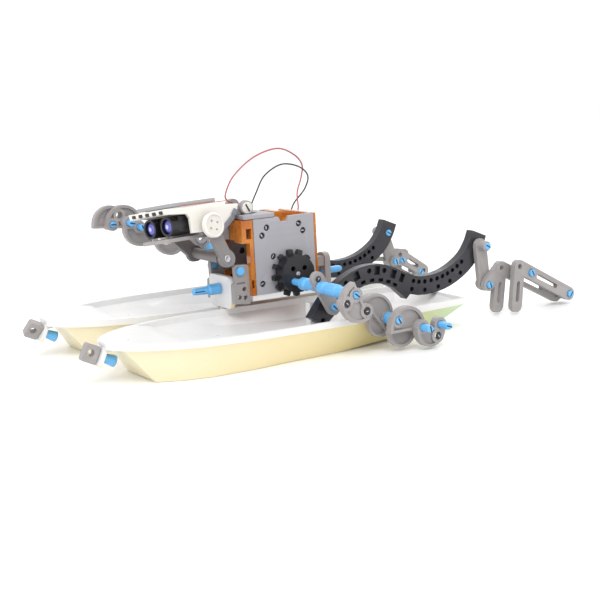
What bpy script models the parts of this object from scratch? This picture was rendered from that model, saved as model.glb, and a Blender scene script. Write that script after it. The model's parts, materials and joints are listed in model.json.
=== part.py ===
# Solar surfing robot kit model: a prone robot on two pontoons, paddling with two cranked arms.
# Units are metres; +Z is up, the robot faces -Y, and its left side is +X.
import bpy
import bmesh
from math import sin, cos, pi, radians, hypot, atan2
from mathutils import Vector, Matrix, Euler

MM = 0.001

# ---- driving dimensions (mm) -------------------------------------------------------------
GAP = 0.3                     # running gap between pieces that touch on the real kit

PONTOON_LENGTH = 224.0
PONTOON_HALF_WIDTH = 39.5
PONTOON_X = 42.5              # centre line of each pontoon
BOW_Y = -131.0
RIM_Z_BOW = 22.5
RIM_Z_STERN = 19.0
RIM_HEIGHT = 3.6
RIM_OVERHANG = 1.2
HULL_FLARE = 8.5
WALL = 2.2
TRAY_FLOOR_Z = 9.0
STERN_RISE = 6.0

BOX_HALF_WIDTH = 20.0
BOX_FRONT_Y = -21.0
BOX_REAR_Y = 21.0
BOX_BOTTOM_Z = 29.0
BOX_TOP_Z = 74.0
BOX_PLATE = 2.5

CRANK_Y = 3.0
CRANK_Z = 40.0
CRANK_PIN = (-3.2, -4.4)      # crank pin from the crank axis on the left side (y, z)
HUB_RADIUS = 11.3
SPROCKET_RADIUS = 14.3
SPROCKET_TEETH = 12

GEAR_MODULE = 1.0
OUTPUT_TEETH = 16
PINION_TEETH = 8
GEAR_X = 6.0
MOTOR_Y = CRANK_Y
MOTOR_Z = CRANK_Z + GEAR_MODULE * (OUTPUT_TEETH + PINION_TEETH) / 2 + 0.3

LINK_X = 55.0
ARM_X = 90.3                  # layer of the first paddle plate
SHELL_T = 4.4                 # thickness of a paddle plate
SHELL_RIM = 1.9
BOSS_R = 4.3
PLATE_T = 3.2
PIN_R = 2.1

LEG_X = 47.0
LEG_T = 6.0
LEG_HALF_DEPTH = 5.8
HIP_Y = 5.0
HIP_Z = 19.0
ANKLE_Y = 124.0
ANKLE_Z = 45.0

HEAD_Y = -52.7
HEAD_Z = 70.8
HEAD_HALF_WIDTH = 17.5
HEAD_SET = (0.0, -radians(8.5), radians(12.0))   # how the neck is flexed: left ear high and back
EAR_RADIUS = 7.3

Y_SHIFT = -24.69                 # moves the whole kit so the origin sits under its middle

# ---- scene -------------------------------------------------------------------------------
for old in list(bpy.data.objects):
    bpy.data.objects.remove(old, do_unlink=True)

KIT = bpy.data.collections.new("solar_surfing_robot")
bpy.context.scene.collection.children.link(KIT)
CUTTERS = bpy.data.collections.new("cutters")
bpy.context.scene.collection.children.link(CUTTERS)

COLOURS = {
    "pontoon_white": (0.86, 0.86, 0.84, 1.0, 0.35),
    "box_grey": (0.45, 0.45, 0.48, 1.0, 0.45),
    "kit_grey": (0.38, 0.37, 0.35, 1.0, 0.5),
    "shell_orange": (0.85, 0.30, 0.02, 1.0, 0.2),
    "pin_blue": (0.13, 0.42, 0.80, 1.0, 0.35),
    "crank_black": (0.02, 0.02, 0.024, 1.0, 0.4),
    "leg_black": (0.045, 0.042, 0.05, 1.0, 0.45),
    "head_cream": (0.86, 0.83, 0.72, 1.0, 0.35),
    "lens_violet": (0.10, 0.10, 0.55, 1.0, 0.1),
    "panel_grey": (0.42, 0.42, 0.44, 1.0, 0.4),
    "cell_dark": (0.02, 0.03, 0.08, 1.0, 0.15),
    "steel": (0.62, 0.62, 0.64, 1.0, 0.25),
    "brass": (0.75, 0.55, 0.22, 1.0, 0.3),
    "wire_red": (0.45, 0.03, 0.04, 1.0, 0.4),
    "wire_black": (0.015, 0.015, 0.015, 1.0, 0.4),
}


def material(node_name, colour):
    """One Principled material for each node."""
    r, g, b, a, rough = COLOURS[colour]
    mat = bpy.data.materials.new(node_name + "_" + colour)
    mat.use_nodes = True
    shader = mat.node_tree.nodes["Principled BSDF"]
    shader.inputs["Base Color"].default_value = (r, g, b, a)
    shader.inputs["Roughness"].default_value = rough
    if colour in ("steel", "brass"):
        shader.inputs["Metallic"].default_value = 1.0
    return mat


BODY_AT = {}


def body(name, at, rotation=(0, 0, 0), parent=None):
    """An empty on a joint's axis; the pieces that move with it are its children."""
    empty = bpy.data.objects.new(name, None)
    KIT.objects.link(empty)
    at = Vector(at)
    if parent is not None:
        empty.parent = bpy.data.objects[parent]
        empty.location = (at - BODY_AT[parent]) * MM
    else:
        empty.location = (at + Vector((0, Y_SHIFT, 0))) * MM
    empty.rotation_euler = rotation
    BODY_AT[name] = at
    return empty


def node(name, mesh, colour, at, parent="kit", rotation=(0, 0, 0)):
    """Link a mesh (mm, about its own origin) as a named piece of one body."""
    mesh.name = name
    mesh.transform(Matrix.Scale(MM, 4))
    obj = bpy.data.objects.new(name, mesh)
    KIT.objects.link(obj)
    obj.parent = bpy.data.objects[parent]
    obj.location = (Vector(at) - BODY_AT[parent]) * MM
    obj.rotation_euler = rotation
    obj.data.materials.append(material(name, colour))
    return obj


SIDEWAYS = (pi / 2, 0, pi / 2)      # a plate drawn in (y, z) with its thickness along X
ALONG_X = (0, pi / 2, 0)            # a lathe axis laid along X
ALONG_Y = (-pi / 2, 0, 0)           # a lathe axis laid along +Y
FACING_Y = (pi / 2, 0, 0)           # a plate drawn in (x, z) with its thickness along Y


# ---- shape helpers -----------------------------------------------------------------------
def circle(cx, cy, r, n=10, turn=0.0):
    """Points of a regular polygon standing in for a circle."""
    return [(cx + r * cos(turn + 2 * pi * i / n), cy + r * sin(turn + 2 * pi * i / n)) for i in range(n)]


def rounded(x0, y0, x1, y1, r, n=3):
    """A rectangle with rounded corners."""
    pts = []
    for cx, cy, a0 in ((x1 - r, y1 - r, 0), (x0 + r, y1 - r, 90), (x0 + r, y0 + r, 180), (x1 - r, y0 + r, 270)):
        for i in range(n + 1):
            a = radians(a0 + 90 * i / n)
            pts.append((cx + r * cos(a), cy + r * sin(a)))
    return pts


def slot(x0, y0, x1, y1, r, n=4):
    """A long rounded outline between two points."""
    a = atan2(y1 - y0, x1 - x0)
    pts = []
    for cx, cy, start in ((x1, y1, a - pi / 2), (x0, y0, a + pi / 2)):
        for i in range(n + 1):
            t = start + pi * i / n
            pts.append((cx + r * cos(t), cy + r * sin(t)))
    return pts


def half_disc(cx, cy, r, belly, n=10, depth=0.12):
    """A half disc whose round side points along the angle belly (degrees)."""
    a = radians(belly)
    pts = [(cx + r * cos(a - pi / 2 + pi * i / n), cy + r * sin(a - pi / 2 + pi * i / n)) for i in range(n + 1)]
    off = depth * r
    pts.append((cx + r * cos(a + pi / 2) - off * cos(a), cy + r * sin(a + pi / 2) - off * sin(a)))
    pts.append((cx + r * cos(a - pi / 2) - off * cos(a), cy + r * sin(a - pi / 2) - off * sin(a)))
    return pts


def slab(outline, thickness, holes=()):
    """A flat plate with holes, drawn in XY and thick along Z about its middle."""
    curve = bpy.data.curves.new("slab", "CURVE")
    curve.dimensions = "2D"
    curve.fill_mode = "BOTH"
    curve.extrude = thickness / 2
    for pts in [outline] + list(holes):
        spline = curve.splines.new("POLY")
        spline.points.add(len(pts) - 1)
        for p, (x, y) in zip(spline.points, pts):
            p.co = (x, y, 0, 1)
        spline.use_cyclic_u = True
    holder = bpy.data.objects.new("slab", curve)
    mesh = bpy.data.meshes.new_from_object(holder)
    bpy.data.objects.remove(holder)
    bpy.data.curves.remove(curve)
    return clean(mesh)


def clean(mesh, dist=0.01):
    """Join the loose edges of a mesh and face it outwards."""
    bm = bmesh.new()
    bm.from_mesh(mesh)
    bmesh.ops.remove_doubles(bm, verts=bm.verts, dist=dist)
    bmesh.ops.recalc_face_normals(bm, faces=bm.faces)
    bm.to_mesh(mesh)
    bm.free()
    return mesh


def lathe(profile, n=12):
    """A turned solid from (radius, height) pairs, both ends on the axis."""
    bm = bmesh.new()
    verts = [bm.verts.new((r, 0, z)) for r, z in profile]
    edges = [bm.edges.new((verts[i], verts[i + 1])) for i in range(len(verts) - 1)]
    bmesh.ops.spin(bm, geom=verts + edges, cent=(0, 0, 0), axis=(0, 0, 1), angle=2 * pi, steps=n,
                   use_merge=True, use_duplicate=False)
    bmesh.ops.remove_doubles(bm, verts=bm.verts, dist=0.001)
    bmesh.ops.recalc_face_normals(bm, faces=bm.faces)
    mesh = bpy.data.meshes.new("lathe")
    bm.to_mesh(mesh)
    bm.free()
    return mesh


def block(sx, sy, sz, at=(0, 0, 0)):
    """A box of the given size about a point."""
    bm = bmesh.new()
    bmesh.ops.create_cube(bm, size=1.0)
    bmesh.ops.scale(bm, vec=(sx, sy, sz), verts=bm.verts)
    bmesh.ops.translate(bm, vec=at, verts=bm.verts)
    mesh = bpy.data.meshes.new("block")
    bm.to_mesh(mesh)
    bm.free()
    return mesh


def loft(loops):
    """A closed solid through a list of equal loops."""
    bm = bmesh.new()
    rows = [[bm.verts.new(p) for p in loop] for loop in loops]
    count = len(rows[0])
    for a, b in zip(rows, rows[1:]):
        for i in range(count):
            j = (i + 1) % count
            bm.faces.new((a[i], a[j], b[j], b[i]))
    bm.faces.new(rows[0])
    bm.faces.new(rows[-1])
    bmesh.ops.recalc_face_normals(bm, faces=bm.faces)
    mesh = bpy.data.meshes.new("loft")
    bm.to_mesh(mesh)
    bm.free()
    return mesh


def turned(mesh, rotation, at=(0, 0, 0)):
    """Turn and move a mesh before it is joined to another."""
    mesh.transform(Matrix.Translation(at) @ Euler(rotation).to_matrix().to_4x4())
    return mesh


def combine(base, others, operation="UNION"):
    """Join meshes to the base, or cut them from it, with exact Booleans."""
    work = bpy.data.objects.new("work", base)
    CUTTERS.objects.link(work)
    tools = []
    for k, other in enumerate(others):
        tool = bpy.data.objects.new("tool", other)
        tool.hide_render = True
        tool.display_type = "WIRE"
        CUTTERS.objects.link(tool)
        mod = work.modifiers.new("step%d" % k, "BOOLEAN")
        mod.operation = operation
        mod.solver = "EXACT"
        mod.object = tool
        tools.append(tool)
    bpy.context.view_layer.update()
    graph = bpy.context.evaluated_depsgraph_get()
    mesh = bpy.data.meshes.new_from_object(work.evaluated_get(graph))
    for obj in [work] + tools:
        bpy.data.objects.remove(obj)
    mesh.materials.clear()
    return clean(mesh, 0.002)


def pin(length, r=PIN_R, head_r=0.0, head_t=1.2, n=12):
    """A snap pin along Z with a small chamfer and, if asked, a head at its far end."""
    profile = [(0, -length / 2), (r - 0.4, -length / 2), (r, -length / 2 + 0.5)]
    if head_r:
        profile += [(r, length / 2 - head_t), (head_r, length / 2 - head_t)]
        profile += [(head_r, length / 2 - 0.3), (head_r - 0.3, length / 2)]
    else:
        profile += [(r, length / 2 - 0.5), (r - 0.4, length / 2)]
    profile.append((0, length / 2))
    return lathe(profile, n)


def smooth(points, per_span=6):
    """Points on a Catmull-Rom curve through the given route."""
    pts = [Vector(p) for p in points]
    pts = [pts[0] * 2 - pts[1]] + pts + [pts[-1] * 2 - pts[-2]]
    out = []
    for i in range(1, len(pts) - 2):
        a, b, c, d = pts[i - 1:i + 3]
        for k in range(per_span):
            t = k / per_span
            out.append(0.5 * (2 * b + (c - a) * t + (2 * a - 5 * b + 4 * c - d) * t * t
                              + (3 * b - a - 3 * c + d) * t * t * t))
    out.append(pts[-2])
    return out


def evenly(points, step):
    """Points spaced evenly along a smooth curve."""
    total = sum((b - a).length for a, b in zip(points, points[1:]))
    count = max(2, int(round(total / step)))
    out = [points[0]]
    for k in range(1, count):
        want = total * k / count
        run = 0.0
        for a, b in zip(points, points[1:]):
            seg = (b - a).length
            if run + seg >= want:
                out.append(a + (b - a) * ((want - run) / seg))
                break
            run += seg
    out.append(points[-1])
    return out


def wire_node(name, route, diameter, colour):
    """A free wire: a round tube on a poly spline through an even run of points."""
    pts = evenly(smooth(route, 12), diameter * 2.5)
    curve = bpy.data.curves.new(name, "CURVE")
    curve.dimensions = "3D"
    curve.bevel_depth = diameter / 2 * MM
    curve.bevel_resolution = 2
    curve.use_fill_caps = True
    spline = curve.splines.new("POLY")
    spline.points.add(len(pts) - 1)
    for p, q in zip(spline.points, pts):
        p.co = (q.x * MM, q.y * MM, q.z * MM, 1)
    obj = bpy.data.objects.new(name, curve)
    KIT.objects.link(obj)
    obj.parent = bpy.data.objects["kit"]
    curve.materials.append(material(name, colour))
    return obj


# ---- pontoons ----------------------------------------------------------------------------
PLAN = ((0.0, 0.14), (0.025, 0.36), (0.06, 0.55), (0.12, 0.75), (0.2, 0.90), (0.32, 0.985),
        (0.45, 1.0), (0.6, 1.0), (0.8, 0.95), (1.0, 0.84))


def sheer(s):
    """Height of the rim along the pontoon."""
    return RIM_Z_BOW + (RIM_Z_STERN - RIM_Z_BOW) * s


def pontoon_mesh():
    """A boat-plan tray: a deep rim skirt over a flared hull, hollow from above."""
    outer = []
    inner = []
    stern_y = BOW_Y + PONTOON_LENGTH
    for s, share in PLAN:
        w = PONTOON_HALF_WIDTH * share
        y = BOW_Y + PONTOON_LENGTH * s
        top = sheer(s)
        low = max(0.0, (s - 0.62) / 0.38) ** 1.5 * STERN_RISE
        if s < 0.06:
            low = (1 - s / 0.06) ** 1.2 * 16.5
        flare = 1.5 + (HULL_FLARE - 1.5) * min(1.0, s / 0.45)
        y_mid = BOW_Y + 1.5 + (PONTOON_LENGTH - 3.0) * s
        y_low = BOW_Y + 9.5 + (PONTOON_LENGTH - 21.5) * s
        w_mid = max(w - RIM_OVERHANG, 1.6)
        w_low = max(w_mid - flare, 1.0)
        half = [(w, y, top), (w, y, top - RIM_HEIGHT), (w_mid, y_mid, top - RIM_HEIGHT - 0.3), (w_low, y_low, low)]
        outer.append(half + [(-x, yy, z) for x, yy, z in reversed(half)])
        if s > 0.1:
            s_in = (s - 0.12) / 0.88
            y_top = BOW_Y + 34.0 + (PONTOON_LENGTH - 34.0 - WALL) * s_in
            y_bot = BOW_Y + 46.0 + (PONTOON_LENGTH - 61.0) * s_in
            wi = w - WALL
            shallow = 1.0 - min(1.0, max(0.0, (s - 0.2) / 0.4))
            wb = w - 7.8 - 6.2 * shallow
            floor = TRAY_FLOOR_Z + 7.5 * shallow if s < 0.9 else TRAY_FLOOR_Z + 1.0
            half = [(wi, y_top, top + 4.0), (wi, y_top, top - RIM_HEIGHT), (wb, y_bot, floor)]
            inner.append(half + [(-x, yy, z) for x, yy, z in reversed(half)])
    return combine(loft(outer), [loft(inner)], "DIFFERENCE")


NOSE_Z = 15.5
NOSE_TILT = radians(-26.0)    # the nose pin points up and forward


def pontoon_with_post(sign):
    """A pontoon with a nose flange, and the post that carries the leg's hip peg in its tray."""
    flange = slab(rounded(-4.8, -5.2, 4.8, 5.2, 1.4, 2), 2.5, [circle(0, 0, PIN_R + GAP, 10)])
    flange = turned(flange, FACING_Y, (0, GAP + 1.25, 0))
    flange = turned(flange, (NOSE_TILT, 0, 0), (0, BOW_Y - 2.5 - GAP, NOSE_Z))
    web = block(5.0, 4.5, 3.2, (0, BOW_Y + 2.4, 18.4))
    post = block(4.6, 9.0, 17.0, (sign * (LEG_X - 3.3 - GAP - 2.3 - PONTOON_X), HIP_Y, HIP_Z - 3.0))
    hole = turned(lathe([(0, -8), (PIN_R + GAP, -8), (PIN_R + GAP, 8), (0, 8)], 12), ALONG_X,
                  (sign * (LEG_X - 6.0 - PONTOON_X), HIP_Y, HIP_Z))
    hull = combine(pontoon_mesh(), [post, web, flange])
    return combine(hull, [hole], "DIFFERENCE")


SIDES = (("left", 1), ("right", -1))
body("kit", (0, 0, 0))
for side, sign in SIDES:
    node(side + "_pontoon", pontoon_with_post(sign), "pontoon_white", (sign * PONTOON_X, 0, 0))


# ---- ties between the pontoons, with their long pins ---------------------------------------
TIE_Y = -33.6
REAR_TIE_Y = 40.0


def tie_mesh(width, top, thickness, pin_z):
    """An upright plate over the gap between the pontoons, with a tongue down into the gap."""
    low = sheer((REAR_TIE_Y - BOW_Y) / PONTOON_LENGTH) + 1.6
    plate = slab(rounded(-width / 2, low, width / 2, top, 3.5), thickness)
    plate = combine(plate, [block(4.4, 14, thickness - 0.4, (0, low - 6.5, 0))])
    hole = lathe([(0, -9), (PIN_R + GAP, -9), (PIN_R + GAP, 9), (0, 9)], 12)
    return combine(plate, [turned(hole, (0, 0, 0), (0, pin_z, 0))], "DIFFERENCE")


node("front_tie", tie_mesh(26.0, 41.0, 3.0, 33.0), "pontoon_white", (0, TIE_Y, 0), rotation=FACING_Y)
long_pin = lathe([(0, -3.4), (PIN_R, -3.4), (PIN_R, 1.8), (3.4, 1.9), (3.4, 9), (2.4, 10), (2.0, 19), (1.2, 20), (0, 20)])
node("front_pin", long_pin, "pin_blue", (0, TIE_Y, 33), rotation=FACING_Y)

rear_tie = tie_mesh(9.4, 46.0, 4.0, 34.0)
rear_tie = combine(rear_tie, [block(7.6, 6.0, 15.0, (0, 41.0, 9.0))])
node("rear_tie", rear_tie, "kit_grey", (0, REAR_TIE_Y, 0), rotation=FACING_Y)
rear_pin = lathe([(0, -13), (1.3, -13), (PIN_R, -11.5), (PIN_R, 1.5), (0, 1.5)])
node("rear_pin", rear_pin, "pin_blue", (0, REAR_TIE_Y, 34), rotation=FACING_Y)

# ---- front brackets beside the tie ---------------------------------------------------------
def bracket_mesh():
    """A side plate from the tie back to the box, bored for a cross pin and two rivets."""
    outline = [(-34.6, 25.2), (-34.6, 36.6), (-33.2, 37.6), (-33.2, 47.0), (-32.2, 48.2), (-24.8, 47.8),
               (-23.9, 46.8), (-23.9, 24.6), (-24.6, 24.0)]
    holes = [circle(-30.3, 44.6, PIN_R + GAP, 10), circle(-27.6, 33.4, 1.4, 8), circle(-31.0, 28.8, 1.4, 8),
             circle(-27.2, 28.2, 1.4, 8)]
    plate = slab(outline, 3.4, holes)
    return combine(plate, [block(5.4, 1.2, 1.6, (-29.6, 37.2, 1.7)), block(5.4, 1.2, 1.6, (-29.6, 37.2, -1.7))],
                   "DIFFERENCE")


for side, sign in SIDES:
    at_x = sign * (13.0 + GAP + 1.7)
    node(side + "_bracket", bracket_mesh(), "kit_grey", (at_x, 0, 0), rotation=SIDEWAYS)
    turn = (0, sign * pi / 2, 0)
    node(side + "_bracket_pin", pin(5.0, PIN_R, 2.7), "pin_blue", (at_x + sign * 0.9, -30.3, 44.6), rotation=turn)

# ---- gearbox --------------------------------------------------------------------------------
BOX_Z = (BOX_BOTTOM_Z + BOX_TOP_Z) / 2
BOX_H = BOX_TOP_Z - BOX_BOTTOM_Z


def side_plate(notch, top):
    """A grey side plate of the gearbox with its screw holes and the shaft hole."""
    y0, y1, z0, z1 = BOX_FRONT_Y, BOX_REAR_Y, BOX_BOTTOM_Z, top
    outline = [(y0, z0), (y1, z0), (y1, z1), (notch + 3, z1), (notch + 1.5, z1 - 3), (notch - 3, z1 - 3),
               (notch - 4.5, z1), (y0, z1)]
    holes = [circle(CRANK_Y, CRANK_Z, 1.9, 12)]
    for y, z in ((-12.0, 68.5), (-15.4, 64.1), (10.4, 68.7), (13.2, 64.2), (-16.6, 35.4), (-8.3, 50.9)):
        holes.append(circle(y, z, 2.0, 10))
    return slab(outline, BOX_PLATE, holes)


for side, sign in SIDES:
    at_x = sign * (BOX_HALF_WIDTH - BOX_PLATE / 2)
    node("gearbox_%s_plate" % side, side_plate(1.0, BOX_TOP_Z if sign > 0 else BOX_TOP_Z - 2.6), "box_grey", (at_x, 0, 0), rotation=SIDEWAYS)


def shell_mesh():
    """The translucent box between the side plates: open at both sides, windowed in front."""
    inside = 2 * (BOX_HALF_WIDTH - BOX_PLATE - GAP)
    wide = 2 * BOX_HALF_WIDTH - 0.6
    front = BOX_FRONT_Y - GAP
    rear = BOX_REAR_Y + GAP
    core = block(inside, rear - front + 2.0, BOX_H, (0, 0, 0))
    column = block(wide, 7.7, BOX_H, (0, front - 3.85, 0))
    back = block(wide, 1.6, BOX_H, (0, rear + 0.8, 0))
    shell = combine(core, [column, back])
    cuts = [block(inside + 9.0, 38.5, BOX_H - 4.4, (0, 0.4, 0))]
    cuts.append(block(30.0, 12.0, BOX_H - 4.4, (0, front - 1.0, 0)))
    cuts.append(block(21.0, 9.0, 17.0, (0, front - 7.0, 2.0)))
    cuts.append(block(wide + 4.0, 3.4, 6.0, (0, front - 3.0, BOX_H / 2 - 8.0)))
    cuts.append(block(wide + 4.0, 1.6, 5.0, (0, front - 1.7, -BOX_H / 2 + 7.0)))
    cuts.append(block(wide + 4.0, 8.0, BOX_H - 8.0, (0, front - 6.6, -9.3)))
    cuts.append(block(wide + 4.0, 37.0, 9.0, (0, 0.5, BOX_H / 2)))
    shell = combine(shell, cuts, "DIFFERENCE")
    rail = block(22.0, 40.0, 2.0, (0, 0.5, BOX_H / 2 - 5.6))
    return combine(shell, [rail, block(18.0, 5.0, 9.0, (0, 3.0, BOX_H / 2 - 2.4))])


node("gearbox_shell", shell_mesh(), "shell_orange", (0, 0, BOX_Z))
top = slab(rounded(-18.5, -26.2, 18.5, -4.5, 2), 2.4, [rounded(2, -15, 9, -11, 1.2), rounded(-9, -15, -2, -11, 1.2)])
top = combine(top, [block(10.0, 5.6, 2.2, (0, -28.2, 0)), block(9.8, 1.7, 13.6, (0, -30.15, -5.7)),
                    block(10.0, 4.2, 6.5, (0, -31.4, -9.75))])
wells = [block(4.6, 10.4, 2.4, (x, -18.8, 1.2)) for x in (-8.45, 8.45)]
top = combine(top, wells, "DIFFERENCE")
node("top_plate", top, "box_grey", (0, 0, BOX_TOP_Z + GAP + 1.2))

motor = lathe([(0, -16), (7.2, -16), (7.2, 1.0), (2.4, 1.0), (2.4, 2.0), (0, 2.0)], 20)
node("motor", motor, "steel", (0, MOTOR_Y, MOTOR_Z), rotation=ALONG_X)


def gear_outline(teeth, phase):
    """A spur gear outline with narrow straight teeth, so a pair turns without touching."""
    r = GEAR_MODULE * teeth / 2
    pts = []
    for k in range(teeth):
        a = 2 * pi * k / teeth + phase
        for rr, half in ((r - 1.3, 0.95), (r - 0.1, 0.55), (r + 0.8, 0.28)):
            pts.append((rr, a - half / rr))
        for rr, half in ((r + 0.8, 0.28), (r - 0.1, 0.55), (r - 1.3, 0.95)):
            pts.append((rr, a + half / rr))
    return [(rr * cos(a), rr * sin(a)) for rr, a in pts]


body("drive", (0, CRANK_Y, CRANK_Z), parent="kit")
body("motor_drive", (0, MOTOR_Y, MOTOR_Z), parent="kit")

pinion = slab(gear_outline(PINION_TEETH, pi / PINION_TEETH), 4.0)
pinion = combine(pinion, [turned(lathe([(0, -3.6), (0.9, -3.6), (0.9, 3.6), (0, 3.6)], 12), (0, 0, 0))])
node("pinion", pinion, "brass", (GEAR_X, MOTOR_Y, MOTOR_Z), parent="motor_drive", rotation=SIDEWAYS)
gear = slab(gear_outline(OUTPUT_TEETH, 0.0), 3.4, [circle(0, 0, 1.5 + GAP, 12)])
node("output_gear", gear, "head_cream", (GEAR_X, CRANK_Y, CRANK_Z), parent="drive", rotation=SIDEWAYS)
shaft = lathe([(0, -28.6), (1.5, -28.6), (1.5, 28.6), (0, 28.6)], 16)
node("drive_shaft", shaft, "steel", (0, CRANK_Y, CRANK_Z), parent="drive", rotation=ALONG_X)


def sprocket_mesh(sign):
    """A toothed crank disc with a proud hub and three holes beside the shaft hole."""
    pts = []
    for k in range(SPROCKET_TEETH):
        a = 2 * pi * (k + 0.25) / SPROCKET_TEETH
        tip = SPROCKET_RADIUS
        for rr, half in ((tip - 3.4, 1.75), (tip - 0.3, 1.55), (tip, 1.2)):
            pts.append((rr, a - half / rr))
        for rr, half in ((tip, 1.2), (tip - 0.3, 1.55), (tip - 3.4, 1.75)):
            pts.append((rr, a + half / rr))
    teeth = slab([(rr * cos(a), rr * sin(a)) for rr, a in pts], 3.0)
    hub = slab(circle(0, 0, HUB_RADIUS, 24), 8.0)
    disc = combine(turned(teeth, (0, 0, 0), (0, 0, -2.45 * sign)), [hub])
    drills = []
    for y, z, r in ((0, 0, 1.8), (CRANK_PIN[0], CRANK_PIN[1], PIN_R + GAP), (-3.6, 3.4, 1.6), (4.4, 3.2, 1.6)):
        drills.append(turned(lathe([(0, -9), (r, -9), (r, 9), (0, 9)], 10), (0, 0, 0), (sign * y, sign * z, 0)))
    return combine(disc, drills, "DIFFERENCE")


# ---- arms: a crank pin, a link and four paddle shells on each side ---------------------------
# A half is (layer offset, thickness, centre y, centre z, radius, belly angle, flat edge depth).
# Positions are from the crank axis, as on the left arm; the right arm is turned half a turn.
PADDLES = {
    "left": (
        ("paddle_a", ((0.0, SHELL_T, -0.4, -8.6, 12.0, 203, 0.1),),
         (CRANK_PIN, (-9.6, -8.4), (3.7, -14.3))),
        ("paddle_b", ((-4.7, SHELL_T, 12.3, -18.8, 12.5, 39, 0.04), (-5.2, 3.0, 17.0, -23.6, 8.6, 219, 0.06)),
         ((3.7, -14.3), (21.0, -21.5))),
        ("paddle_c", ((5.6, SHELL_T, 27.4, -26.3, 12.0, 90, 0.18), (2.6, 3.4, 26.0, -28.6, 9.6, 270, 0.12)),
         ((21.0, -21.5), (34.4, -26.8))),
        ("paddle_d", ((10.4, SHELL_T, 40.3, -28.9, 10.0, 267, 0.1),),
         ((34.4, -26.8), (46.8, -27.0), (44.8, -33.2))),
    ),
    "right": (
        ("paddle_a", ((0.0, SHELL_T, 8.0, -5.6, 12.0, 236, 0.12),),
         (CRANK_PIN, (2.0, -12.0), (17.0, -10.5))),
        ("paddle_b", ((-4.7, SHELL_T, 27.0, -15.0, 11.5, 82, 0.1),),
         ((17.0, -10.5), (37.0, -18.0))),
        ("paddle_c", ((0.0, SHELL_T, 46.0, -23.0, 11.8, 85, 0.1),),
         ((37.0, -18.0), (47.0, -24.0), (54.0, -27.5))),
        ("paddle_d", ((4.7, SHELL_T, 55.5, -26.5, 12.4, 266, 0.22), (8.8, SHELL_T, 63.0, -27.0, 12.0, 266, 0.22)),
         ((47.0, -24.0), (54.0, -27.5), (63.5, -27.0), (58.3, -32.6))),
    ),
}
# An arm pin is (name, y, z, inner end, outer end, collar start, collar end, collar radius).
ARM_PINS = {
    "left": (("paddle_pin_b", 21.0, -21.5, -7.3, 8.8, -2.2, 3.1, 3.6),
             ("paddle_pin_c", 34.4, -26.8, 0.6, 19.5, 0.0, 0.0, 0.0),
             ("paddle_pin_d", 46.8, -27.0, 7.6, 20.5, 0.0, 0.0, 0.0)),
    "right": (("paddle_pin_b", 47.0, -24.0, -8.0, 7.4, 0.0, 0.0, 0.0),
              ("paddle_pin_c", 54.0, -27.5, -7.6, 7.4, 0.0, 0.0, 0.0),
              ("paddle_pin_d", 63.5, -27.0, 1.2, 20.5, 0.0, 0.0, 0.0)),
}


def crank_pin_mesh():
    """The stepped axle from the crank out through the link to the first paddle."""
    r = PIN_R
    x0 = 26.0 - LINK_X
    steps = [(0, x0), (r, x0), (r, 36.4 - LINK_X), (3.2, 36.8 - LINK_X), (3.9, 38.4 - LINK_X)]
    steps += [(3.9, 42.6 - LINK_X), (3.0, 44.0 - LINK_X), (3.0, -2.6), (r, -2.4), (r, 2.2), (3.7, 2.4)]
    steps += [(3.7, 63.0 - LINK_X), (3.1, 63.4 - LINK_X), (3.1, 66.0 - LINK_X), (3.9, 66.4 - LINK_X)]
    steps += [(3.9, 75.0 - LINK_X), (3.2, 75.6 - LINK_X), (3.2, 87.5 - LINK_X), (r, 87.8 - LINK_X)]
    steps += [(r, 93.0 - LINK_X), (r - 0.5, 93.6 - LINK_X), (0, 93.6 - LINK_X)]
    return lathe(steps, 12)


def arm_pin_mesh(x0, x1, c0, c1, cr):
    """A snap pin along the crank axis direction, with a spacer collar where two shells are held apart."""
    r = PIN_R
    steps = [(0, x0), (r - 0.4, x0), (r, x0 + 0.5)]
    if cr:
        steps += [(r, c0), (cr, c0), (cr, c1), (r, c1)]
    steps += [(r, x1 - 0.5), (r - 0.4, x1), (0, x1)]
    return lathe(steps, 12)


def paddle_mesh(halves, bores, sign):
    """Half-disc shells with a raised rim on both faces, and a bored boss at each pin."""
    def flip(points):
        return [(sign * y, sign * z) for y, z in points]

    shells = []
    for x, t, cy, cz, r, belly, depth in halves:
        plate = slab(flip(half_disc(cy, cz, r, belly, 12, depth)), t)
        a = radians(belly)
        inset = max(depth - 0.1, 0.01)
        shift = (inset - depth) * r + 1.4
        inner = flip(half_disc(cy + shift * cos(a), cz + shift * sin(a), r - SHELL_RIM - 0.5 * shift, belly, 10, inset))
        cuts = []
        for face in (1, -1):
            cuts.append(turned(slab(inner, 2.4), (0, 0, 0), (0, 0, face * t / 2)))
        shells.append(turned(combine(plate, cuts, "DIFFERENCE"), (0, 0, 0), (0, 0, sign * x)))
    low = min(h[0] - h[1] / 2 for h in halves)
    high = max(h[0] + h[1] / 2 for h in halves)
    for y, z in bores:
        near = []
        for h in halves:
            toward = (y - h[2]) * cos(radians(h[5])) + (z - h[3]) * sin(radians(h[5]))
            if hypot(y - h[2], z - h[3]) < h[4] + 2.0 and toward > -4.5:
                near.append(h)
        z0 = min(h[0] - h[1] / 2 for h in near) + 0.1
        z1 = max(h[0] + h[1] / 2 for h in near) - 0.1
        boss = slab(circle(sign * y, sign * z, BOSS_R, 12), z1 - z0)
        shells.append(turned(boss, (0, 0, 0), (0, 0, sign * (z0 + z1) / 2)))
    mesh = combine(shells[0], shells[1:])
    drills = []
    for y, z in bores:
        drill = lathe([(0, low - 3), (PIN_R + GAP, low - 3), (PIN_R + GAP, high + 3), (0, high + 3)], 10)
        drills.append(turned(drill, (0, 0, 0) if sign > 0 else (pi, 0, 0), (sign * y, sign * z, 0)))
    return combine(mesh, drills, "DIFFERENCE")


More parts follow.
